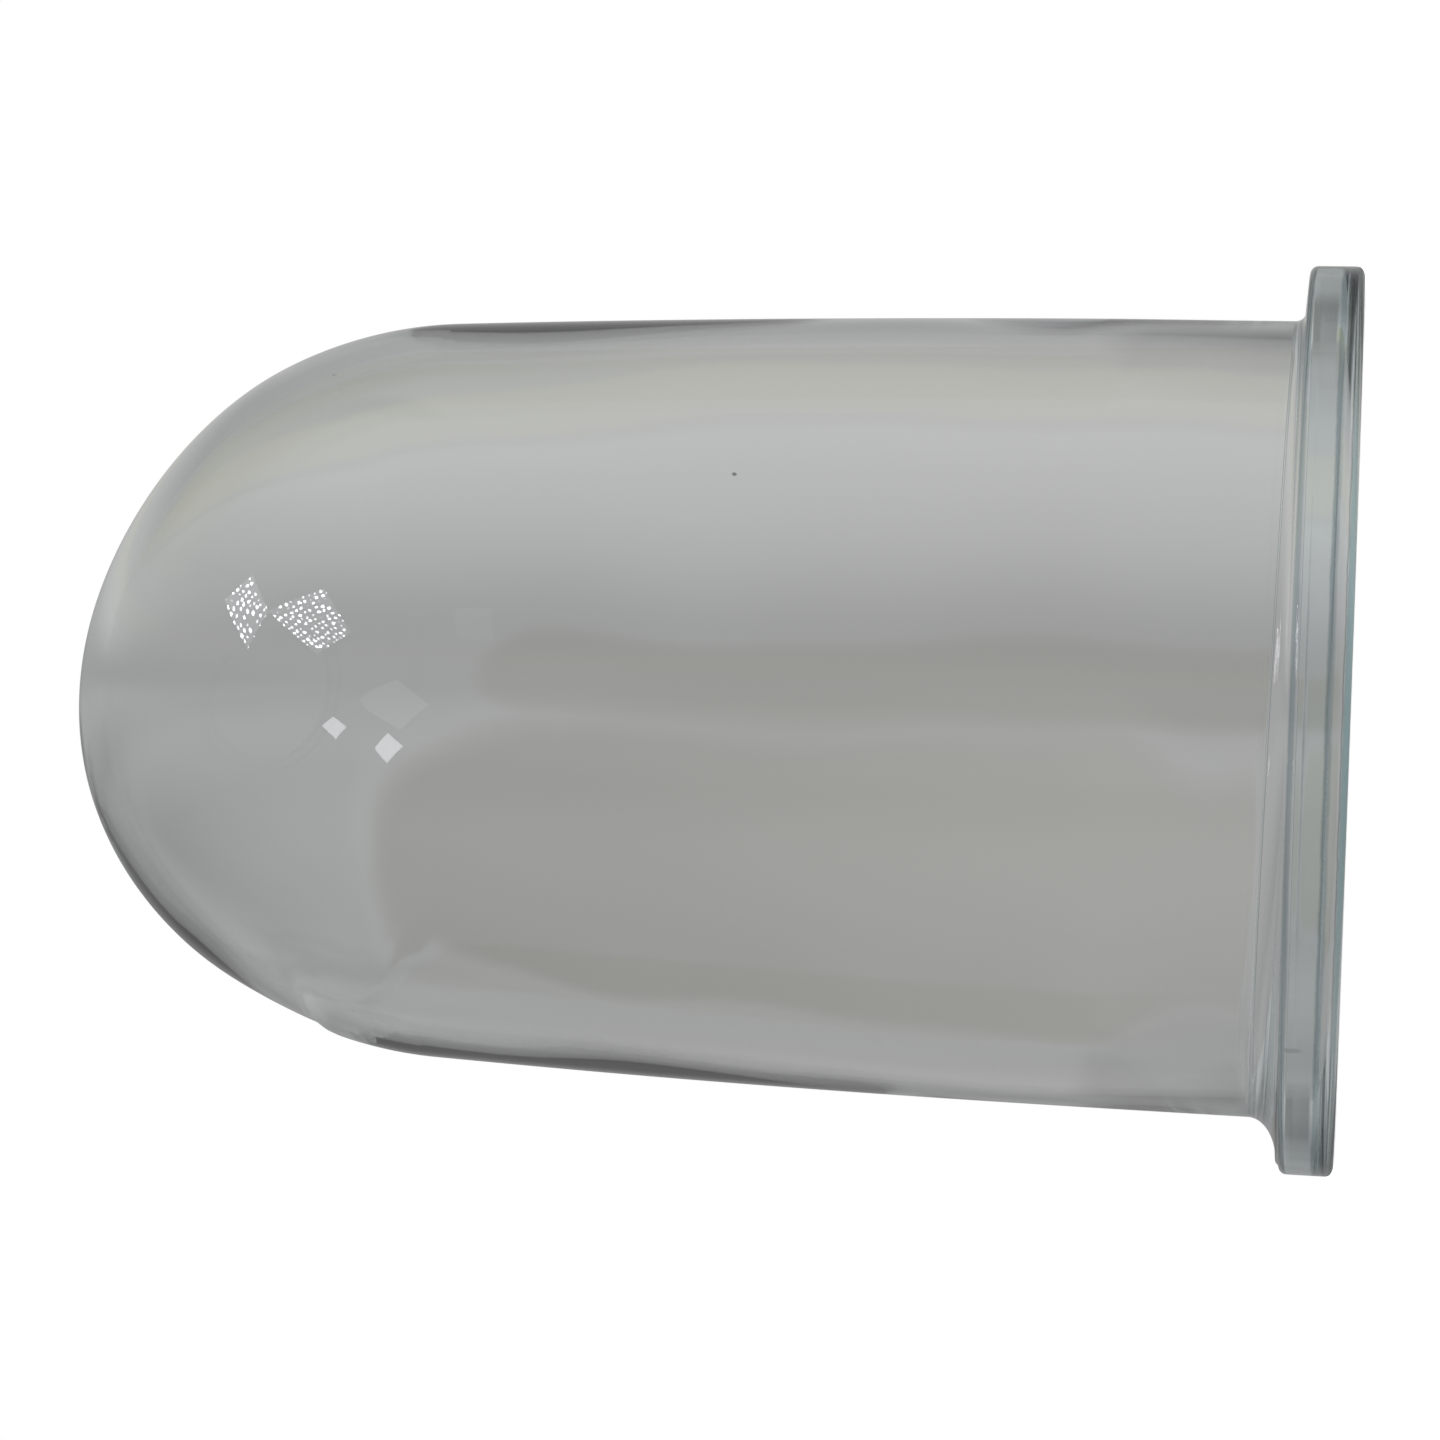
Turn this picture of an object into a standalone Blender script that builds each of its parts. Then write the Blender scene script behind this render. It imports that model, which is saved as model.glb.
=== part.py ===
"""A one-piece blown glass vessel: a domed, slightly tapered body with a thick flange round its open mouth.

The frame is in metres. +Z runs along the axis from the mouth to the dome, and the origin is the centre of the
flange's sealing face, so the vessel stands mouth down on the plane z = 0.
"""

import math

import bpy

# The flange.
FLANGE_OD = 0.150
FLANGE_THICKNESS = 0.0088
BACK_CORNER_RADIUS = 0.0013
SEAL_CORNER_RADIUS = 0.0015
BORE_CORNER_RADIUS = 0.0030

# The body, from the flange to the shoulder.
BODY_OD = 0.132
BODY_TAPER = 0.0047  # how much smaller the radius is at TAPER_HEIGHT
TAPER_HEIGHT = 0.200
TAPER_POWER = 2.45
FILLET_RADIUS = 0.0040

# The dome: a wide shoulder arc that runs on from the body, then a tighter crown arc centred on the axis.
SHOULDER_HEIGHT = 0.1525
SHOULDER_ARC_RADIUS = 0.0702
CROWN_ARC_RADIUS = 0.0561

# The wall. It is thicker at the mouth, and it thickens slowly up the body to an even dome.
WALL = 0.0020
MOUTH_EXTRA_WALL = 0.0010
THICKENING_HEIGHT = 0.024
DOME_EXTRA_WALL = 0.0020
DOME_THICKENING_START = 0.070
DOME_THICKENING_END = 0.185

# How finely the outline is drawn.
ROUND_STEPS = 64
BODY_STEPS = 7
SHOULDER_STEPS = 10
CROWN_STEPS = 5
FILLET_STEPS = 5
CORNER_STEPS = 3

# The glass.
GLASS_COLOUR = (0.86, 0.90, 0.89, 1.0)
GLASS_ROUGHNESS = 0.02
GLASS_IOR = 1.5


def body_radius(height):
    """The outer radius of the body, which narrows faster and faster towards the shoulder."""
    return BODY_OD / 2 - BODY_TAPER * (height / TAPER_HEIGHT) ** TAPER_POWER


def wall_at(height):
    """The wall's thickness above the mouth, from the body's thin part to the dome."""
    share = (height - DOME_THICKENING_START) / (DOME_THICKENING_END - DOME_THICKENING_START)
    share = min(max(share, 0.0), 1.0)
    return WALL + DOME_EXTRA_WALL * share * share * (3.0 - 2.0 * share)


def arc(centre, radius, start, end, steps):
    """Points (radius, height) along an arc, both ends included. Angles are in degrees from +X towards +Z."""
    points = []
    for step in range(steps + 1):
        angle = math.radians(start + (end - start) * step / steps)
        points.append((centre[0] + radius * math.cos(angle), centre[1] + radius * math.sin(angle)))
    return points


def dome_arc(centre, radius, start, end, steps, inside):
    """An arc of the dome's outer side or, with inside true, of its inner side, a wall's thickness further in."""
    points = []
    for outer_point in arc(centre, 1.0, start, end, steps):
        across = outer_point[0] - centre[0]
        upward = outer_point[1] - centre[1]
        wall = wall_at(centre[1] + radius * upward) if inside else 0.0
        points.append((centre[0] + (radius - wall) * across, centre[1] + (radius - wall) * upward))
    return points


def dome(inside):
    """The dome from its pole down to the shoulder, on its outer or its inner side."""
    rise = SHOULDER_HEIGHT / TAPER_HEIGHT
    lean = math.atan(BODY_TAPER * TAPER_POWER / TAPER_HEIGHT * rise ** (TAPER_POWER - 1))
    shoulder_centre = (
        body_radius(SHOULDER_HEIGHT) - SHOULDER_ARC_RADIUS * math.cos(lean),
        SHOULDER_HEIGHT - SHOULDER_ARC_RADIUS * math.sin(lean),
    )
    # The two arcs touch where their centres line up.
    radius_change = SHOULDER_ARC_RADIUS - CROWN_ARC_RADIUS
    meeting = math.acos(-shoulder_centre[0] / radius_change)
    crown_centre = (0.0, shoulder_centre[1] + radius_change * math.sin(meeting))
    meeting_angle = math.degrees(meeting)
    crown = dome_arc(crown_centre, CROWN_ARC_RADIUS, 90.0, meeting_angle, CROWN_STEPS, inside)
    shoulder = dome_arc(
        shoulder_centre,
        SHOULDER_ARC_RADIUS,
        meeting_angle,
        math.degrees(lean),
        SHOULDER_STEPS,
        inside,
    )
    pole = (0.0, crown[0][1])
    return [pole] + crown[1:] + shoulder[1:]


def outer_wall():
    """The outer side below the shoulder, down to the start of the fillet."""
    low = FLANGE_THICKNESS + FILLET_RADIUS
    points = []
    for step in range(1, BODY_STEPS):
        height = SHOULDER_HEIGHT + (low - SHOULDER_HEIGHT) * step / BODY_STEPS
        points.append((body_radius(height), height))
    return points


def flange():
    """The fillet, the flange's back face, its rounded rim and its sealing face, out and round to the bore."""
    root = body_radius(FLANGE_THICKNESS + FILLET_RADIUS)
    rim = FLANGE_OD / 2
    bore = body_radius(0.0) - WALL - MOUTH_EXTRA_WALL
    fillet_centre = (root + FILLET_RADIUS, FLANGE_THICKNESS + FILLET_RADIUS)
    back_centre = (rim - BACK_CORNER_RADIUS, FLANGE_THICKNESS - BACK_CORNER_RADIUS)
    seal_centre = (rim - SEAL_CORNER_RADIUS, SEAL_CORNER_RADIUS)
    bore_centre = (bore + BORE_CORNER_RADIUS, BORE_CORNER_RADIUS)
    return (
        arc(fillet_centre, FILLET_RADIUS, 180.0, 270.0, FILLET_STEPS)
        + arc(back_centre, BACK_CORNER_RADIUS, 90.0, 0.0, CORNER_STEPS)
        + arc(seal_centre, SEAL_CORNER_RADIUS, 0.0, -90.0, CORNER_STEPS)
        + arc(bore_centre, BORE_CORNER_RADIUS, -90.0, -180.0, CORNER_STEPS)
    )


def inner_wall():
    """The bore from just inside the mouth up to the shoulder, with closer points near the mouth."""
    points = []
    for step in range(1, BODY_STEPS):
        height = SHOULDER_HEIGHT * (step / BODY_STEPS) ** 1.6
        fade = max(1.0 - height / THICKENING_HEIGHT, 0.0) ** 2
        points.append((body_radius(height) - wall_at(height) - MOUTH_EXTRA_WALL * fade, height))
    return points


def outline():
    """The whole section, from the outer pole down the outside, round the flange and up the bore."""
    return dome(False) + outer_wall() + flange() + inner_wall() + dome(True)[::-1]


def clear_glass():
    material = bpy.data.materials.new("clear_glass")
    material.use_nodes = True
    shader = material.node_tree.nodes["Principled BSDF"]
    shader.inputs["Base Color"].default_value = GLASS_COLOUR
    shader.inputs["Roughness"].default_value = GLASS_ROUGHNESS
    shader.inputs["Metallic"].default_value = 0.0
    shader.inputs["IOR"].default_value = GLASS_IOR
    shader.inputs["Transmission Weight"].default_value = 1.0
    return material


def glass_vessel():
    """Turns the section round the Z axis."""
    points = [(radius, 0.0, height) for radius, height in outline()]
    edges = [(index, index + 1) for index in range(len(points) - 1)]
    mesh = bpy.data.meshes.new("glass_vessel")
    mesh.from_pydata(points, edges, [])
    mesh.materials.append(clear_glass())
    vessel = bpy.data.objects.new("glass_vessel", mesh)

    turn = vessel.modifiers.new("turn", "SCREW")
    turn.axis = "Z"
    turn.angle = 2 * math.pi
    turn.steps = ROUND_STEPS
    turn.render_steps = ROUND_STEPS
    turn.use_merge_vertices = True
    turn.merge_threshold = 0.00001
    turn.use_smooth_shade = True
    return vessel


def main():
    for existing in list(bpy.data.objects):
        bpy.data.objects.remove(existing)
    collection = bpy.data.collections.new("flanged_glass_vessel")
    bpy.context.scene.collection.children.link(collection)
    collection.objects.link(glass_vessel())


main()
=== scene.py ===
import math

import bpy
import numpy as np
from mathutils import Matrix, Vector


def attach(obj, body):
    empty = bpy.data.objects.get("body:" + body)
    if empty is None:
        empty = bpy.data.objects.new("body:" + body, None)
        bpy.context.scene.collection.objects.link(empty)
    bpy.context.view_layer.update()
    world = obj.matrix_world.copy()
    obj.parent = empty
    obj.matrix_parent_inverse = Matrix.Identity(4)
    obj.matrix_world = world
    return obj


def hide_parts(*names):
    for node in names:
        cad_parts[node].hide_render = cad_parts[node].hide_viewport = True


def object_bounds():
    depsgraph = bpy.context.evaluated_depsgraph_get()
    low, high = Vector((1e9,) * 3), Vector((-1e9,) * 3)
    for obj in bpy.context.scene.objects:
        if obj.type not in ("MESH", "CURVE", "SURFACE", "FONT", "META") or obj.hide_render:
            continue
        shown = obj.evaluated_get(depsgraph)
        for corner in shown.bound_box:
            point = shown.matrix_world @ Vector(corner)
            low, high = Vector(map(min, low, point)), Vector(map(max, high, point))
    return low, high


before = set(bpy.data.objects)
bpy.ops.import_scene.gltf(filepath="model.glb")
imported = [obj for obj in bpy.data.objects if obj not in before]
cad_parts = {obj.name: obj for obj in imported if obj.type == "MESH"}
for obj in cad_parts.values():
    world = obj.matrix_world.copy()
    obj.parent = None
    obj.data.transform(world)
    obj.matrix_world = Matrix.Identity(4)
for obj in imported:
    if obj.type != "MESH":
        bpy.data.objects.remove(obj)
cadLow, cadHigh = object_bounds()
print("frame loaded, CAD box", tuple(cadLow), tuple(cadHigh))

cameraSettings = {
    "distance": 0.5625,  # from the vessel's axis
    "height": 0.00165,  # just above the sealing face's plane, so the flange is seen edge on
    "yaw": 10.54,  # degrees towards the dome
    "roll": 2.0,  # degrees that the axis drops towards the flange
    "aimDown": 0.34,  # degrees
    "lens": 83.2,
    "sensor": 36.0,
}


def makeCamera(settings):
    yaw, roll, aim = (math.radians(settings[key]) for key in ("yaw", "roll", "aimDown"))
    forward = Vector((0.0, math.cos(yaw), math.sin(yaw)))
    right = Vector((0.0, math.sin(yaw), -math.cos(yaw)))  # the dome points left
    up = Vector((1.0, 0.0, 0.0))
    roomAxes = (right, up, forward)
    right, up = right * math.cos(roll) + up * math.sin(roll), up * math.cos(roll) - right * math.sin(roll)
    forward, up = forward * math.cos(aim) - up * math.sin(aim), up * math.cos(aim) + forward * math.sin(aim)
    data = bpy.data.cameras.new("mainCamera")
    data.lens = settings["lens"]
    data.sensor_width = settings["sensor"]
    data.clip_start = 0.01
    data.clip_end = 50.0
    data.dof.use_dof = False
    camera = bpy.data.objects.new("mainCamera", data)
    axes = Matrix((right, up, -forward)).transposed().to_4x4()
    axes.translation = Vector((0.0, -settings["distance"], settings["height"]))
    camera.matrix_world = axes
    bpy.context.collection.objects.link(camera)
    bpy.context.scene.camera = camera
    return roomAxes


cameraAxes = makeCamera(cameraSettings)
print("camera placed")

vesselShape = {
    "rimRadius": cadHigh.x,
    "height": cadHigh.z,
    "flangeThickness": 0.0088,
    "backCorner": 0.0013,
    "sealCornerAcross": 0.0018,  # the ground edge: wider across the face than along the axis
    "sealCornerAlong": 0.0012,
    "boreCornerAcross": 0.0030,  # the mouth's inner edge, flared by hand
    "boreCornerAlong": 0.0034,
    "bodyRadius": 0.066,
    "bodyTaper": 0.0047,
    "taperHeight": 0.200,
    "taperPower": 2.45,
    "shoulderHeight": 0.1525,
    "shoulderArc": 0.0702,
    "crownArc": 0.0561,
    "wall": 0.0020,
    "mouthExtraWall": 0.0010,
    "thickeningBetween": (0.0095, 0.0450),
    "domeExtraWall": 0.0020,
    "domeThickensBetween": (0.070, 0.185),
    "filletAlong": (0.0017, 0.0048),  # at the light side (+X) and the heavy side (-X)
    "filletAcross": (0.0014, 0.0072),
    "backFaceRise": 0.0005,  # how much the back face swells towards the body
    "outerLean": 0.00665,  # how far the dome sits towards -X, outside and inside, at the top of the lean
    "innerLean": 0.0064,
    "leanBetween": (0.1813, 0.2462),
    "roundSteps": 288,
    "boreCrowding": 1.3,  # brings the bore's rings closer together near the mouth
}

ringCounts = {  # rings of points on each stretch of the section
    "crown": 22,
    "outerShoulder": 56,
    "innerShoulder": 46,
    "body": 64,
    "fillet": 16,
    "backFace": 7,
    "backCorner": 9,
    "rim": 8,
    "sealCorner": 10,
    "sealFace": 12,
    "boreCorner": 12,
    "bore": 58,
}


def bodyRadius(shape, height):
    # radius = body radius - taper * (height / taper height) ^ power
    narrowing = (np.maximum(height, 0) / shape["taperHeight"]) ** shape["taperPower"]
    return shape["bodyRadius"] - shape["bodyTaper"] * narrowing


def smoothStep(value, start, end):
    share = np.clip((value - start) / (end - start), 0.0, 1.0)
    return share * share * (3.0 - 2.0 * share)


def domeExtraWall(shape, height):
    # the wall grows slowly up the body and is even over the dome
    return shape["domeExtraWall"] * smoothStep(height, *shape["domeThickensBetween"])


def domeSection(shape, inside, crownSteps, shoulderSteps):
    # two arcs that touch where their centres line up:
    # radius and height = centre + (arc radius - wall) * (cos a, sin a)
    steepness = (
        shape["bodyTaper"] * shape["taperPower"] / shape["taperHeight"]
        * (shape["shoulderHeight"] / shape["taperHeight"]) ** (shape["taperPower"] - 1.0)
    )
    low = math.atan(steepness)
    shoulderX = float(bodyRadius(shape, shape["shoulderHeight"])) - shape["shoulderArc"] * math.cos(low)
    shoulderZ = shape["shoulderHeight"] - shape["shoulderArc"] * math.sin(low)
    change = shape["shoulderArc"] - shape["crownArc"]
    meeting = math.acos(-shoulderX / change)
    crownZ = shoulderZ + change * math.sin(meeting)
    crownZ += (shape["height"] - crownZ - shape["crownArc"]) * 0.5
    crownAngles = np.linspace(math.pi / 2, meeting, crownSteps, endpoint=False)
    shoulderAngles = np.linspace(meeting, low, shoulderSteps)
    angles = np.concatenate([crownAngles, shoulderAngles])
    onCrown = np.arange(angles.size) < crownSteps
    outerHeight = np.where(
        onCrown,
        crownZ + shape["crownArc"] * np.sin(angles),
        shoulderZ + shape["shoulderArc"] * np.sin(angles),
    )
    wall = shape["wall"] + domeExtraWall(shape, outerHeight) if inside else 0.0
    arcRadius = np.where(onCrown, shape["crownArc"], shape["shoulderArc"]) - wall
    radius = np.where(onCrown, 0.0, shoulderX) + arcRadius * np.cos(angles)
    height = np.where(onCrown, crownZ, shoulderZ) + arcRadius * np.sin(angles)
    return radius, height


def cornerArc(centreX, centreZ, across, along, start, end, steps):
    # a quarter ellipse: radius = centre + across * cos a, height = centre + along * sin a
    angles = np.radians(np.linspace(start, end, steps))[:, None]
    return centreX + across * np.cos(angles), centreZ + along * np.sin(angles)


def vesselGrid(shape, rings):
    # the section's radius and height, as a function of the way along it and of the angle round the axis:
    # point = (radius * cos(turn) - lean(height), radius * sin(turn), height)
    # it runs from the outer pole down the outside, round the flange and up the bore to the inner pole
    turn = np.linspace(0.0, 2.0 * math.pi, shape["roundSteps"], endpoint=False)[None, :]
    ones = np.ones_like(turn)
    heavy = (0.5 - 0.5 * np.cos(turn)) ** 1.5  # 0 on the light side, 1 on the heavy side
    filletAlong = shape["filletAlong"][0] + (shape["filletAlong"][1] - shape["filletAlong"][0]) * heavy
    filletAcross = shape["filletAcross"][0] + (shape["filletAcross"][1] - shape["filletAcross"][0]) * heavy
    thick = shape["flangeThickness"]
    rim = shape["rimRadius"]

    def shares(count):
        return np.linspace(0.0, 1.0, count)[1:-1, None]

    outerR, outerZ = domeSection(shape, False, rings["crown"], rings["outerShoulder"])
    innerR, innerZ = domeSection(shape, True, rings["crown"], rings["innerShoulder"])
    rows = [(outerR[:, None] * ones, outerZ[:, None] * ones)]

    filletTop = thick + shape["backFaceRise"] + filletAlong
    bodyZ = shape["shoulderHeight"] + (filletTop - shape["shoulderHeight"]) * shares(rings["body"])
    rows.append((bodyRadius(shape, bodyZ), bodyZ))

    faceStart = bodyRadius(shape, filletTop) + filletAcross
    rows.append(cornerArc(faceStart, filletTop, filletAcross, filletAlong, 180.0, 270.0, rings["fillet"]))
    backCorner = shape["backCorner"]
    faceEnd = rim - backCorner
    rimHigh = thick - backCorner
    share = shares(rings["backFace"])
    rows.append((faceStart + (faceEnd - faceStart) * share, thick + shape["backFaceRise"] * (1.0 - share)))
    rows.append(cornerArc(faceEnd, rimHigh, backCorner, backCorner, 90.0, 0.0, rings["backCorner"]))
    rimLow = shape["sealCornerAlong"]
    sealAcross = shape["sealCornerAcross"]
    share = shares(rings["rim"])
    rows.append((rim + 0.0 * share, rimHigh + (rimLow - rimHigh) * share))
    rows.append(cornerArc(rim - sealAcross, rimLow, sealAcross, rimLow, 0.0, -90.0, rings["sealCorner"]))
    sealRow = sum(len(part[0]) for part in rows)

    bore = float(bodyRadius(shape, 0.0)) - shape["wall"] - shape["mouthExtraWall"]
    boreAcross, boreAlong = shape["boreCornerAcross"], shape["boreCornerAlong"]
    sealOut = rim - sealAcross
    sealIn = bore + boreAcross
    share = shares(rings["sealFace"])
    rows.append((sealOut + (sealIn - sealOut) * share, 0.0 * share))
    rows.append(cornerArc(sealIn, boreAlong, boreAcross, boreAlong, -90.0, -180.0, rings["boreCorner"]))
    boreRow = sum(len(part[0]) for part in rows)

    share = shares(rings["bore"]) ** shape["boreCrowding"]
    boreZ = boreAlong + (shape["shoulderHeight"] - boreAlong) * share
    fade = 1.0 - smoothStep(boreZ, *shape["thickeningBetween"])
    boreWall = shape["wall"] + shape["mouthExtraWall"] * fade + domeExtraWall(shape, boreZ)
    rows.append((bodyRadius(shape, boreZ) - boreWall, boreZ))
    rows.append((innerR[::-1, None], innerZ[::-1, None]))

    radius = np.concatenate([part[0] * ones for part in rows])
    height = np.concatenate([part[1] * ones for part in rows])
    inside = (np.arange(len(radius)) >= boreRow)[:, None] * ones
    return turn, radius, height, inside, sealRow, boreRow


blownGlass = {
    "outerOval": 0.00008,
    "outerSwell": 0.00003,
    "innerOval": 0.00014,
    "innerSwell": 0.00005,
    "innerRipple": 0.00002,
    "fadeAboveFlange": (0.014, 0.045),
    "fadeFromPole": (0.002, 0.025),
    "shoulderStep": 0.0010,  # the mould line on the heavy side of the shoulder
    "stepHeight": 0.1690,
    "stepWidth": 0.0026,
    "stepEndsBetween": (0.176, 0.196),
    "stepReach": 0.5,  # radians round the axis
}


def blowUnevenly(blown, turn, radius, height, inside):
    # radius += oval * cos(2 turn) + swell * sin(3 turn + height) + ripple * sin(5 turn - height),
    # all fading to nothing at the flange and the poles
    body = smoothStep(height, *blown["fadeAboveFlange"]) * smoothStep(radius, *blown["fadeFromPole"])
    outer = blown["outerOval"] * np.cos(2 * turn + 0.7)
    outer = outer + blown["outerSwell"] * np.sin(3 * turn + 46.0 * height)
    inner = (
        blown["innerOval"] * np.cos(turn + 2.4)
        + blown["innerOval"] * 0.5 * np.cos(2 * turn + 1.9 + 20.0 * height)
        + blown["innerSwell"] * np.sin(3 * turn + 70.0 * height + 1.1)
        + blown["innerRipple"] * np.sin(5 * turn - 150.0 * height)
    )
    radius = radius + body * np.where(inside > 0.5, inner, outer)
    around = np.angle(np.exp(1j * (turn - math.pi)))
    step = smoothStep(height, blown["stepHeight"], blown["stepHeight"] + blown["stepWidth"])
    step = step * (1.0 - smoothStep(height, *blown["stepEndsBetween"]))
    step = step * np.exp(-((around / blown["stepReach"]) ** 2))
    return radius - blown["shoulderStep"] * step * (1.0 - inside)


def closedGridMesh(name, points):
    # quads between neighbouring rings, and a fan of triangles round each pole
    rings, steps = points.shape[0] - 2, points.shape[1]
    vertices = np.concatenate([points[0, :1], points[1:-1].reshape(-1, 3), points[-1, :1]])
    index = 1 + np.arange(rings * steps).reshape(rings, steps)
    ahead = np.roll(index, -1, axis=1)
    quads = np.stack([index[:-1], index[1:], ahead[1:], ahead[:-1]], axis=-1).reshape(-1, 4)
    last = len(vertices) - 1
    capStart = np.stack([np.zeros(steps, int), index[0], ahead[0]], axis=-1)
    capEnd = np.stack([np.full(steps, last), ahead[-1], index[-1]], axis=-1)
    mesh = bpy.data.meshes.new(name)
    mesh.from_pydata(vertices.tolist(), [], capStart.tolist() + quads.tolist() + capEnd.tolist())
    mesh.validate()
    mesh.shade_smooth()
    return mesh


def makeVessel(shape, rings, blown):
    turn, radius, height, inside, sealRow, boreRow = vesselGrid(shape, rings)
    radius = blowUnevenly(blown, turn, radius, height, inside)
    poleLean = np.where(inside > 0.5, shape["innerLean"], shape["outerLean"])
    lean = poleLean * smoothStep(height, *shape["leanBetween"])
    points = np.stack([radius * np.cos(turn) - lean, radius * np.sin(turn), height], axis=-1)
    points[0, :, :] = points[0].mean(axis=0)
    points[-1, :, :] = points[-1].mean(axis=0)
    mesh = closedGridMesh("glassVessel", points)
    slots = np.zeros(len(mesh.polygons), np.int32)
    groundStart = shape["roundSteps"] * (1 + sealRow - rings["sealCorner"])
    groundEnd = shape["roundSteps"] * (1 + boreRow - rings["boreCorner"])
    slots[groundStart:groundEnd] = 1  # the ground sealing face and its outer edge
    mesh.polygons.foreach_set("material_index", slots)
    vessel = bpy.data.objects.new("glassVessel", mesh)
    bpy.context.collection.objects.link(vessel)
    print("vessel surface:", len(mesh.vertices), "vertices,", len(mesh.polygons), "faces")
    return vessel


vessel = makeVessel(vesselShape, ringCounts, blownGlass)

glassFinish = {
    "tint": (0.985, 0.985, 0.983, 1.0),
    "ior": 1.50,
    "absorbColour": (0.40, 0.77, 0.83, 1.0),
    "absorbDensity": 5.0,
    "bumpDistance": 0.0002,
}

glassKinds = {  # the fire-polished glass, and the ground sealing face
    "clearGlass": {"Base Roughness": 0.0, "Specks": 1.0, "Streaks": 0.5, "Smears": 0.03},
    "groundGlass": {"Base Roughness": 0.25, "Specks": 1.0, "Streaks": 1.0, "Smears": 0.1},
}


def node(tree, kind, **inputs):
    made = tree.nodes.new(kind)
    for name, value in inputs.items():
        made.inputs[name].default_value = value
    return made


rimLineAndShadeStops = (  # height above the sealing face in mm, and the colour painted on the rim there: a thin dark line at 1.15 mm at the top of the ground edge, and painted shade at 2.75–3.40 mm and 8.1–8.8 mm for the dark lines that the flange's refraction shows
    (0.0, (0.96, 0.97, 0.97)),
    (0.95, (0.94, 0.95, 0.95)),
    (1.15, (0.24, 0.27, 0.28)),
    (1.35, (0.96, 0.97, 0.97)),
    (2.35, (0.95, 0.96, 0.96)),
    (2.75, (0.44, 0.52, 0.55)),
    (3.40, (0.26, 0.34, 0.37)),
    (3.80, (0.96, 0.97, 0.97)),
    (7.7, (0.97, 0.98, 0.98)),
    (8.1, (0.42, 0.50, 0.53)),
    (8.8, (0.32, 0.40, 0.43)),
    (9.3, (0.95, 0.96, 0.96)),
)


def maths(tree, operation, first, second=None, third=None):
    made = tree.nodes.new("ShaderNodeMath")
    made.operation = operation
    for slot, value in enumerate((first, second, third)):
        if isinstance(value, (int, float)):
            made.inputs[slot].default_value = value
        elif value is not None:
            tree.links.new(value, made.inputs[slot])
    return made.outputs[0]


def colourRamp(tree, value, stops, low, high):
    ramp = tree.nodes.new("ShaderNodeValToRGB")
    elements = ramp.color_ramp.elements
    for number, (place, colour) in enumerate(stops):
        if number < 2:
            element = elements[number]
            element.position = (place - low) / (high - low)
        else:
            element = elements.new((place - low) / (high - low))
        element.color = (*colour, 1.0)
    spread = maths(tree, "MULTIPLY_ADD", value, 1.0 / (high - low), -low / (high - low))
    tree.links.new(spread, ramp.inputs["Fac"])
    return ramp.outputs["Color"]


def spread(tree, value, low, high, atLow=0.0, atHigh=1.0):
    # as the value goes from low to high, the result goes from atLow to atHigh
    made = tree.nodes.new("ShaderNodeMapRange")
    for name, number in (("From Min", low), ("From Max", high), ("To Min", atLow), ("To Max", atHigh)):
        made.inputs[name].default_value = number
    tree.links.new(value, made.inputs["Value"])
    return made.outputs["Result"]


def mixColours(tree, share, first, second, kind="MIX"):
    # share, first and second are each a socket or a constant
    made = tree.nodes.new("ShaderNodeMix")
    made.data_type = "RGBA"
    made.blend_type = kind
    for slot, value in ((0, share), (6, first), (7, second)):
        if isinstance(value, float):
            made.inputs[slot].default_value = value
        elif isinstance(value, tuple):
            made.inputs[slot].default_value = (*value, 1.0)
        else:
            tree.links.new(value, made.inputs[slot])
    return made.outputs[2]


glassMarksAndShade = {
    "ringsFrom": (0.0715, 0.0735),  # the radius where the rim's rings come in
    "ringWaves": 130.0,
    "ringDrift": 0.5,  # mm
    "nickScale": (260.0, 260.0, 95.0),
    "nickSize": (0.09, 0.16),
    "nickChosen": (0.84, 0.85),
    "nicksBelow": (0.0098, 0.0094),
    "nickDarkness": 0.45,
    "speckScale": 90.0,
    "speckSize": (0.03, 0.06),
    "speckChosen": (0.88, 0.89),
    "speckColour": (0.05, 0.045, 0.04),
    "smearScale": 14.0,
    "smearShown": (0.58, 0.75),
    "smearStretch": 0.35,
    "streakScale": 22.0,
    "streakStretch": 0.12,
}


def scattered(tree, vector, scale, size, chosen):
    # small spots near a random cell's point, in the few cells whose random value is high
    cells = node(tree, "ShaderNodeTexVoronoi", Scale=scale)
    tree.links.new(vector, cells.inputs["Vector"])
    near = spread(tree, cells.outputs["Distance"], *size, 1.0, 0.0)
    return maths(tree, "MULTIPLY", near, spread(tree, cells.outputs["Color"], *chosen))


def stretched(tree, place, scale):
    mapping = node(tree, "ShaderNodeMapping", Scale=scale)
    tree.links.new(place, mapping.inputs["Vector"])
    return mapping.outputs[0]


def noise(tree, vector, scale, detail, roughness):
    made = node(tree, "ShaderNodeTexNoise", Scale=scale, Detail=detail, Roughness=roughness)
    tree.links.new(vector, made.inputs["Vector"])
    return made.outputs["Fac"]


def rimLinesAndShade(tree, place, split, marksAndShade):
    # dark rings painted round the flange: a thin line at the top of the ground edge and bands of painted
    # shade for the dark lines that its refraction shows, a little wavy along their length
    wander = noise(tree, place, marksAndShade["ringWaves"], 3.0, 0.6)
    drift = maths(tree, "MULTIPLY_ADD", wander, marksAndShade["ringDrift"], -0.5 * marksAndShade["ringDrift"])
    height = maths(tree, "MULTIPLY_ADD", split.outputs["Z"], 1000.0, drift)  # in mm
    rings = colourRamp(tree, height, rimLineAndShadeStops, -1.0, 12.0)
    across = maths(tree, "POWER", split.outputs["X"], 2.0)
    around = maths(tree, "POWER", split.outputs["Y"], 2.0)
    radius = maths(tree, "SQRT", maths(tree, "ADD", across, around))
    return mixColours(tree, spread(tree, radius, *marksAndShade["ringsFrom"]), (1.0, 1.0, 1.0), rings)


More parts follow.
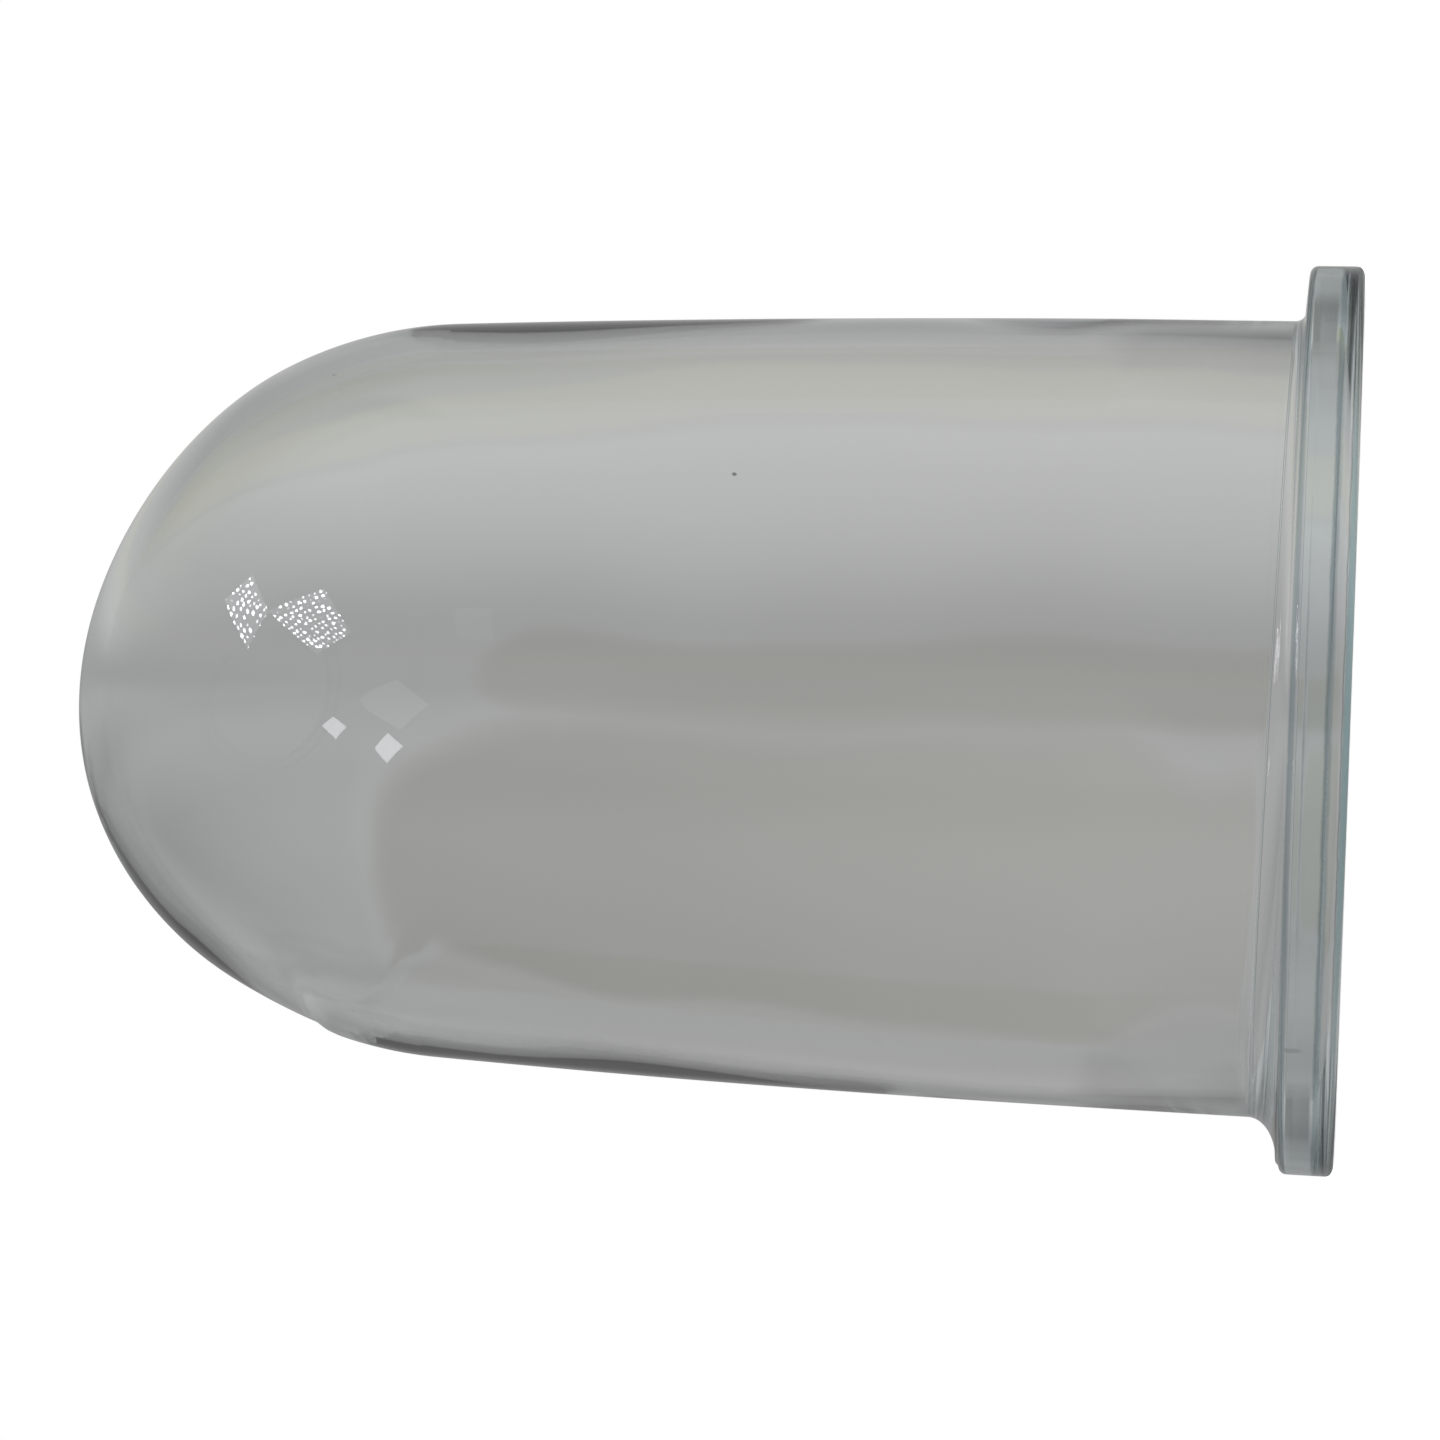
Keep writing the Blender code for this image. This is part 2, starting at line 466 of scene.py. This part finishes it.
def rimNicks(tree, place, split, marksAndShade):
    # short marks along the axis, scattered round the flange
    vector = stretched(tree, place, marksAndShade["nickScale"])
    spots = scattered(tree, vector, 1.0, marksAndShade["nickSize"], marksAndShade["nickChosen"])
    return maths(tree, "MULTIPLY", spots, spread(tree, split.outputs["Z"], *marksAndShade["nicksBelow"]))


def makeMarksAndShadeGroup(marksAndShade):
    # specks, nicks, smears and slow streaks for glass, with the rim's painted dark rings and painted shade: a
    # colour, a roughness and a height
    group = bpy.data.node_groups.new("glassMarksAndShade", "ShaderNodeTree")
    sockets = group.interface
    for name, value in (("Specks", 0.3), ("Streaks", 0.5), ("Smears", 0.02), ("Base Roughness", 0.0)):
        socket = sockets.new_socket(name, in_out="INPUT", socket_type="NodeSocketFloat")
        socket.default_value = value
    sockets.new_socket("Tint", in_out="INPUT", socket_type="NodeSocketColor")
    sockets.new_socket("Colour", in_out="OUTPUT", socket_type="NodeSocketColor")
    sockets.new_socket("Roughness", in_out="OUTPUT", socket_type="NodeSocketFloat")
    sockets.new_socket("Height", in_out="OUTPUT", socket_type="NodeSocketFloat")
    link = group.links.new
    start = group.nodes.new("NodeGroupInput")
    end = group.nodes.new("NodeGroupOutput")
    place = group.nodes.new("ShaderNodeTexCoord").outputs["Object"]
    split = group.nodes.new("ShaderNodeSeparateXYZ")
    link(place, split.inputs[0])

    specks = scattered(group, place, marksAndShade["speckScale"], marksAndShade["speckSize"], marksAndShade["speckChosen"])
    nicks = maths(group, "MULTIPLY", rimNicks(group, place, split, marksAndShade), marksAndShade["nickDarkness"])
    shown = maths(group, "MULTIPLY", maths(group, "MAXIMUM", specks, nicks), start.outputs["Specks"])
    colour = mixColours(group, shown, start.outputs["Tint"], marksAndShade["speckColour"])
    # the rim's thin dark line and its bands of painted shade, multiplied into the glass's colour
    ringed = mixColours(group, 1.0, colour, rimLinesAndShade(group, place, split, marksAndShade), "MULTIPLY")
    link(ringed, end.inputs["Colour"])

    # thin smears left by handling
    handled = stretched(group, place, (1.0, 1.0, marksAndShade["smearStretch"]))
    smear = noise(group, handled, marksAndShade["smearScale"], 4.0, 0.6)
    patch = spread(group, smear, *marksAndShade["smearShown"])
    rough = maths(group, "MULTIPLY_ADD", patch, start.outputs["Smears"], start.outputs["Base Roughness"])
    link(rough, end.inputs["Roughness"])

    # slow streaks along the axis
    drawn = stretched(group, place, (1.0, 1.0, marksAndShade["streakStretch"]))
    streak = noise(group, drawn, marksAndShade["streakScale"], 2.0, 0.45)
    link(maths(group, "MULTIPLY", streak, start.outputs["Streaks"]), end.inputs["Height"])
    return group


def makeGlass(name, group, finish, kind):
    material = bpy.data.materials.new(name)
    material.use_nodes = True
    tree = material.node_tree
    link = tree.links.new
    shader = tree.nodes["Principled BSDF"]
    shader.inputs["IOR"].default_value = finish["ior"]
    shader.inputs["Transmission Weight"].default_value = 1.0
    shader.inputs["Metallic"].default_value = 0.0
    marksAndShade = tree.nodes.new("ShaderNodeGroup")
    marksAndShade.node_tree = group
    marksAndShade.inputs["Tint"].default_value = finish["tint"]
    for socket, value in kind.items():
        marksAndShade.inputs[socket].default_value = value
    bump = node(tree, "ShaderNodeBump", Strength=1.0, Distance=finish["bumpDistance"])
    link(marksAndShade.outputs["Colour"], shader.inputs["Base Color"])
    link(marksAndShade.outputs["Roughness"], shader.inputs["Roughness"])
    link(marksAndShade.outputs["Height"], bump.inputs["Height"])
    link(bump.outputs["Normal"], shader.inputs["Normal"])
    absorb = node(tree, "ShaderNodeVolumeAbsorption", Color=finish["absorbColour"])
    absorb.inputs["Density"].default_value = finish["absorbDensity"]
    link(absorb.outputs["Volume"], tree.nodes["Material Output"].inputs["Volume"])
    return material


marksAndShadeGroup = makeMarksAndShadeGroup(glassMarksAndShade)
for kindName, kindValues in glassKinds.items():
    vessel.data.materials.append(makeGlass(kindName, marksAndShadeGroup, glassFinish, kindValues))
print("glass made")

stageSettings = {
    "floorSize": 6.0,
    "floorDrop": 0.0002,
    "floorGlow": 0.75,
    "floorInReflections": 0.40,
    "bounces": 18,
}

backdrop = {
    "tones": (  # brightness of the room against the sine of the look's elevation towards +X
        (-1.0, 0.50), (-0.64, 0.42), (-0.42, 0.27), (-0.30, 0.315), (-0.206, 0.335), (-0.149, 0.300),
        (-0.117, 0.320), (-0.080, 0.352), (-0.048, 0.383), (-0.022, 0.392), (0.002, 0.352), (0.017, 0.336),
        (0.028, 0.345), (0.040, 0.368), (0.052, 0.400), (0.064, 0.430), (0.075, 0.446), (0.088, 0.470),
        (0.104, 0.490), (0.120, 0.515), (0.160, 0.520), (0.200, 0.500), (0.29, 0.43), (0.42, 0.36),
        (0.55, 0.37), (0.64, 0.42), (0.80, 0.55), (1.0, 0.60),
    ),
    "tints": (  # a cream band high up, with a thin dark edge under it
        (-1.0, (1.0, 1.0, 1.0)),
        (0.130, (1.0, 1.0, 1.0)),
        (0.134, (0.93, 0.93, 0.925)),
        (0.137, (0.93, 0.93, 0.925)),
        (0.141, (1.0, 1.0, 0.94)),
        (0.200, (1.0, 1.0, 0.93)),
        (0.212, (0.95, 0.95, 0.95)),
        (0.260, (1.0, 1.0, 1.0)),
        (1.0, (1.0, 1.0, 1.0)),
    ),
    "viewScale": 3327.0,  # spreads the directions ahead over a flat plane
    "leastAhead": 0.2,
    # the shadow: a painted shadow of the vessel on the room behind it, olive-tinted
    "shadowCentre": (141.0, -272.0),
    "shadowHalf": (560.0, 238.0),
    "shadowCorner": 205.0,
    "shadowSoftness": 30.0,
    "shadowDepth": (0.145, 0.030),  # at its left and right ends
    "shadowDepthBetween": (-400.0, 480.0),
    # the halo: a painted rim of light round the painted shadow
    "haloHalf": (602.0, 288.0),
    "haloCorner": 240.0,
    "haloSoftness": 34.0,
    "haloGain": 0.05,
    # the wedge: a painted band of shadow above it, olive-tinted too
    "wedgeCentre": (222.0, 32.0),
    "wedgeHalf": (530.0, 52.0),
    "wedgeCorner": 50.0,
    "wedgeSoftness": 14.0,
    "wedgeDepth": 0.085,
    "patchTint": (1.0, 1.0, 0.945),
    "awayGain": 1.08,  # the room is lighter away from the line of sight
    "awayBetween": (-0.40, 0.30),
    "cornerDepth": 0.55,  # the corners of the room behind the flange's ends are dark
    "cornerStarts": (350.0, 600.0),
    "cornerEnds": (850.0, 1200.0),
    "cornerSteepness": (0.42, 0.60),
    "cornerAhead": (0.40, 0.52),
    "wallColour": (0.42, 0.42, 0.335),  # a cream wall well off the line of sight
    "wallAheadFrom": (0.185, 0.195),
    "wallAheadTo": (0.640, 0.650),
    "wallAbove": (0.25, 0.45),
    "wallLeftOf": (430.0, 560.0),
}


def vectorMaths(tree, operation, first, second=None):
    made = tree.nodes.new("ShaderNodeVectorMath")
    made.operation = operation
    for slot, value in enumerate((first, second)):
        if isinstance(value, tuple):
            made.inputs[slot].default_value = value
        elif value is not None:
            tree.links.new(value, made.inputs[slot])
    return made.outputs["Value" if operation in ("LENGTH", "DOT_PRODUCT") else "Vector"]


def roundedPatch(tree, point, centre, half, corner, softness):
    # 1 inside a rounded box and 0 outside, by length(max(|p - centre| - (half - corner), 0)) against corner
    moved = vectorMaths(tree, "SUBTRACT", point, (centre[0], centre[1], 0.0))
    moved = vectorMaths(tree, "ABSOLUTE", moved)
    beyond = vectorMaths(tree, "SUBTRACT", moved, (half[0] - corner, half[1] - corner, 1.0))
    beyond = vectorMaths(tree, "MAXIMUM", beyond, (0.0, 0.0, 0.0))
    edge = node(tree, "ShaderNodeMapRange", **{"From Min": corner + softness, "From Max": corner - softness})
    edge.interpolation_type = "SMOOTHSTEP"
    tree.links.new(vectorMaths(tree, "LENGTH", beyond), edge.inputs["Value"])
    return edge.outputs["Result"]


def makeWorld(axes, room):
    # colour = tone(raised) * tint(raised) * patch tint * dimming and lightening, with a cream wall over it
    world = bpy.data.worlds.new("studio")
    bpy.context.scene.world = world
    world.use_nodes = True
    tree = world.node_tree
    tree.nodes.clear()
    link = tree.links.new
    look = tree.nodes.new("ShaderNodeTexCoord").outputs["Generated"]
    across, raised, ahead = (vectorMaths(tree, "DOT_PRODUCT", look, tuple(axis)) for axis in axes)

    def times(first, *others):
        for other in others:
            first = maths(tree, "MULTIPLY", first, other)
        return first

    def lessBy(mask, depth):
        return maths(tree, "MULTIPLY_ADD", mask, -depth, 1.0)

    # the look ahead on a flat plane: across / ahead and raised / ahead
    safe = maths(tree, "MAXIMUM", ahead, room["leastAhead"])
    flatAcross = times(maths(tree, "DIVIDE", across, safe), room["viewScale"])
    flatRaised = times(maths(tree, "DIVIDE", raised, safe), room["viewScale"])
    flat = tree.nodes.new("ShaderNodeCombineXYZ")
    link(flatAcross, flat.inputs[0])
    link(flatRaised, flat.inputs[1])

    def patch(name, centre):
        half, corner, softness = (room[name + part] for part in ("Half", "Corner", "Softness"))
        return roundedPatch(tree, flat.outputs[0], centre, half, corner, softness)

    # a painted shadow of the vessel, a painted rim of light round it, and a painted band of shadow, the
    # wedge, above it
    shadow = patch("shadow", room["shadowCentre"])
    halo = patch("halo", room["shadowCentre"])
    wedge = patch("wedge", room["wedgeCentre"])
    depth = spread(tree, flatAcross, *room["shadowDepthBetween"], *room["shadowDepth"])
    dimmer = lessBy(times(shadow, depth), 1.0)
    brighter = lessBy(maths(tree, "SUBTRACT", halo, shadow), -room["haloGain"])
    away = spread(tree, ahead, *room["awayBetween"], room["awayGain"], 1.0)
    corner = times(
        spread(tree, flatAcross, *room["cornerStarts"]),
        spread(tree, maths(tree, "ABSOLUTE", raised), *room["cornerSteepness"]),
        spread(tree, flatAcross, *room["cornerEnds"], 1.0, 0.0),
        spread(tree, ahead, *room["cornerAhead"]),
    )
    factor = times(
        dimmer, brighter, lessBy(wedge, room["wedgeDepth"]), away, lessBy(corner, room["cornerDepth"])
    )

    tones = colourRamp(tree, raised, [(t, (v, v, v)) for t, v in room["tones"]], -1.0, 1.0)
    tints = colourRamp(tree, raised, room["tints"], -1.0, 1.0)
    # the olive tint inside the painted shadow and the wedge
    olive = mixColours(tree, maths(tree, "MAXIMUM", shadow, wedge), (1.0, 1.0, 1.0), room["patchTint"])
    shaded = tones
    for layer in (tints, olive, factor):
        shaded = vectorMaths(tree, "MULTIPLY", shaded, layer)

    wall = times(
        spread(tree, ahead, *room["wallAheadFrom"]),
        spread(tree, ahead, *room["wallAheadTo"], 1.0, 0.0),
        spread(tree, raised, *room["wallAbove"]),
        spread(tree, flatAcross, *room["wallLeftOf"], 1.0, 0.0),
    )
    seen = node(tree, "ShaderNodeBackground", Strength=1.0)
    link(mixColours(tree, wall, shaded, room["wallColour"]), seen.inputs["Color"])
    white = node(tree, "ShaderNodeBackground", Color=(1.0, 1.0, 1.0, 1.0), Strength=1.0)
    ray = tree.nodes.new("ShaderNodeLightPath")
    choose = tree.nodes.new("ShaderNodeMixShader")
    link(ray.outputs["Is Camera Ray"], choose.inputs[0])
    link(seen.outputs[0], choose.inputs[1])
    link(white.outputs[0], choose.inputs[2])
    out = tree.nodes.new("ShaderNodeOutputWorld")
    link(choose.outputs[0], out.inputs["Surface"])


lampPanels = {  # corners in metres and glow; a dotted one also has its dots a side and their glow
    "ledPanelNear": {
        "corners": (
            (0.272, -0.346, 0.876), (0.372, -0.399, 0.801), (0.264, -0.539, 0.757), (0.123, -0.515, 0.818),
        ),
        "glow": 1.8,
        "dots": 7.0,
        "dotGlow": 42.0,
    },
    "ledPanelFar": {
        "corners": (
            (0.264, -0.539, 0.757), (0.374, -0.643, 0.574), (0.219, -0.768, 0.467), (0.124, -0.728, 0.586),
        ),
        "glow": 1.6,
        "dots": 10.0,
        "dotGlow": 42.0,
    },
    "softSquareNear": {
        "corners": (
            (-0.157, -0.737, 0.562), (-0.121, -0.767, 0.518),
            (-0.161, -0.782, 0.469), (-0.209, -0.752, 0.508),
        ),
        "glow": 6.5,
    },
    "softSquareFar": {
        "corners": (
            (-0.243, -0.774, 0.432), (-0.182, -0.793, 0.426),
            (-0.232, -0.781, 0.418), (-0.301, -0.755, 0.425),
        ),
        "glow": 6.5,
    },
    "windowStrip": {
        "corners": (
            (0.330, -0.750, 0.396), (0.333, -0.753, 0.378), (0.208, -0.798, 0.377), (0.204, -0.795, 0.395),
        ),
        "glow": 0.8,
    },
    "paleCard": {
        "corners": (
            (-0.051, -0.806, 0.445), (0.036, -0.813, 0.423), (-0.063, -0.816, 0.407), (-0.168, -0.797, 0.420),
        ),
        "glow": 1.2,
    },
}

panelFinish = {
    "colour": (0.94, 0.96, 1.0, 1.0),
    "dotSize": (0.20, 0.34),
    "dotScatter": 0.35,
}


def makePanel(name, spec, finish):
    # a lamp or card that only shows as a reflection in the glass
    mesh = bpy.data.meshes.new(name)
    mesh.from_pydata(spec["corners"], [], [(0, 1, 2, 3)])
    layer = mesh.uv_layers.new(name="UVMap")
    layer.data.foreach_set("uv", [0.0, 0.0, 1.0, 0.0, 1.0, 1.0, 0.0, 1.0])
    panel = bpy.data.objects.new(name, mesh)
    bpy.context.collection.objects.link(panel)
    panel.visible_camera = False
    panel.visible_diffuse = False
    panel.visible_transmission = False
    panel.visible_shadow = False
    material = bpy.data.materials.new(name)
    material.use_nodes = True
    tree = material.node_tree
    tree.nodes.clear()
    glow = node(tree, "ShaderNodeEmission", Color=finish["colour"], Strength=spec["glow"])
    if "dots" in spec:
        place = tree.nodes.new("ShaderNodeTexCoord")
        cells = vectorMaths(tree, "MULTIPLY", place.outputs["UV"], (spec["dots"],) * 3)
        dots = node(tree, "ShaderNodeTexVoronoi", Scale=1.0, Randomness=finish["dotScatter"])
        tree.links.new(cells, dots.inputs["Vector"])
        lit = spread(tree, dots.outputs["Distance"], *finish["dotSize"], spec["dotGlow"], spec["glow"])
        tree.links.new(lit, glow.inputs["Strength"])
    out = tree.nodes.new("ShaderNodeOutputMaterial")
    tree.links.new(glow.outputs[0], out.inputs["Surface"])
    mesh.materials.append(material)


def makeFloor(settings):
    # pale where it is looked at; the glass shows the room's tones instead of it
    size = settings["floorSize"]
    low = -settings["floorDrop"]
    mesh = bpy.data.meshes.new("floor")
    corners = [(-size, -size, low), (size, -size, low), (size, size, low), (-size, size, low)]
    mesh.from_pydata(corners, [], [(0, 1, 2, 3)])
    floor = bpy.data.objects.new("floor", mesh)
    bpy.context.collection.objects.link(floor)
    material = bpy.data.materials.new("paleFloor")
    material.use_nodes = True
    tree = material.node_tree
    tree.nodes.clear()
    greyness = settings["floorInReflections"]
    grey = node(tree, "ShaderNodeEmission", Color=(greyness, greyness, greyness, 1.0), Strength=1.0)
    pale = node(tree, "ShaderNodeBsdfDiffuse", Color=(0.8, 0.8, 0.8, 1.0))
    glow = node(tree, "ShaderNodeEmission", Color=(1.0, 1.0, 1.0, 1.0), Strength=settings["floorGlow"])
    both = tree.nodes.new("ShaderNodeAddShader")
    tree.links.new(pale.outputs[0], both.inputs[0])
    tree.links.new(glow.outputs[0], both.inputs[1])
    ray = tree.nodes.new("ShaderNodeLightPath")
    choose = tree.nodes.new("ShaderNodeMixShader")
    tree.links.new(ray.outputs["Is Camera Ray"], choose.inputs[0])
    tree.links.new(grey.outputs[0], choose.inputs[1])
    tree.links.new(both.outputs[0], choose.inputs[2])
    out = tree.nodes.new("ShaderNodeOutputMaterial")
    tree.links.new(choose.outputs[0], out.inputs["Surface"])
    mesh.materials.append(material)
    floor.visible_transmission = False
    floor.visible_glossy = False


softboxSettings = {
    "place": (0.3, -0.2, 1.6),
    "aim": (0.0, 0.0, 0.1),
    "size": 1.2,
    "power": 14.0,
}


def makeSoftbox(settings):
    data = bpy.data.lights.new("overheadSoftbox", "AREA")
    data.shape = "RECTANGLE"
    data.size = settings["size"]
    data.size_y = settings["size"]
    data.energy = settings["power"]
    lamp = bpy.data.objects.new("overheadSoftbox", data)
    direction = Vector(settings["aim"]) - Vector(settings["place"])
    turned = direction.to_track_quat("-Z", "Y").to_matrix().to_4x4()
    lamp.matrix_world = Matrix.Translation(settings["place"]) @ turned
    lamp.visible_glossy = False
    lamp.visible_transmission = False
    bpy.context.collection.objects.link(lamp)


makeWorld(cameraAxes, backdrop)
for panelName, panelSpec in lampPanels.items():
    makePanel(panelName, panelSpec, panelFinish)
makeFloor(stageSettings)
makeSoftbox(softboxSettings)
bpy.context.scene.view_settings.view_transform = "Standard"
for bounceLimit in ("max_bounces", "transmission_bounces", "glossy_bounces"):
    setattr(bpy.context.scene.cycles, bounceLimit, stageSettings["bounces"])
print("stage made")

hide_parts("glass_vessel")
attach(vessel, "root")
